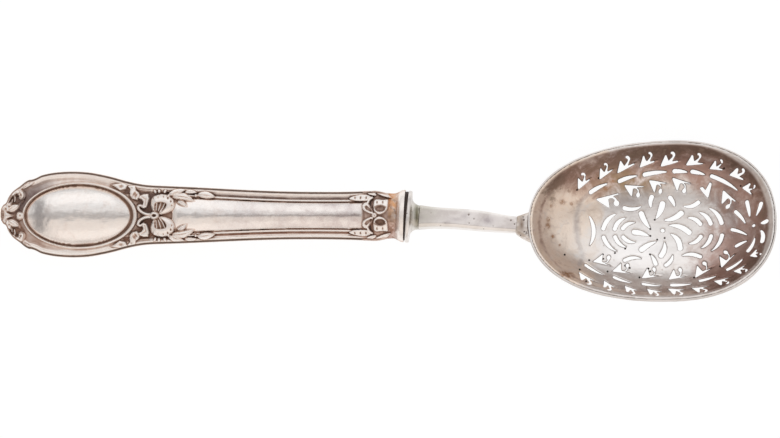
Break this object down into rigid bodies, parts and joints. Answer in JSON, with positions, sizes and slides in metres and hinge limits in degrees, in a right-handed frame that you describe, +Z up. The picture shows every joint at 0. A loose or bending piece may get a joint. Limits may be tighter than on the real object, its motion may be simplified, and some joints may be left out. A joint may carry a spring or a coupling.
{
  "type": "slotted spoon",
  "caption": "Pierced oval-bowled sugar-sifting spoon with a chamfered stem and a filled stamped silver handle.",
  "frame": {"origin": "middle of the spoon's footprint, on the surface it lies on", "axes": "+X from the handle's butt to the bowl's tip, +Y to the left of that, +Z up, out of the bowl"},
  "size_m": [0.2104, 0.0436, 0.0184],
  "materials": {
    "handle_silver": "worn stamped silver with warm tarnish in the grooves",
    "stem_silver": "plain worn silver",
    "bowl_silver": "tarnished silver, brown towards the walls",
    "filling_pitch": "dark pitch",
    "tang_steel": "dull forged steel"
  },
  "bodies": {
    "root": {"handle_front_shell": "handle_silver", "handle_back_shell": "handle_silver", "handle_filling": "filling_pitch", "tang": "tang_steel", "bolster": "stem_silver", "stem": "stem_silver", "bowl_lug": "stem_silver", "bowl": "bowl_silver", "rim_wire": "bowl_silver"}
  },
  "joints": []
}
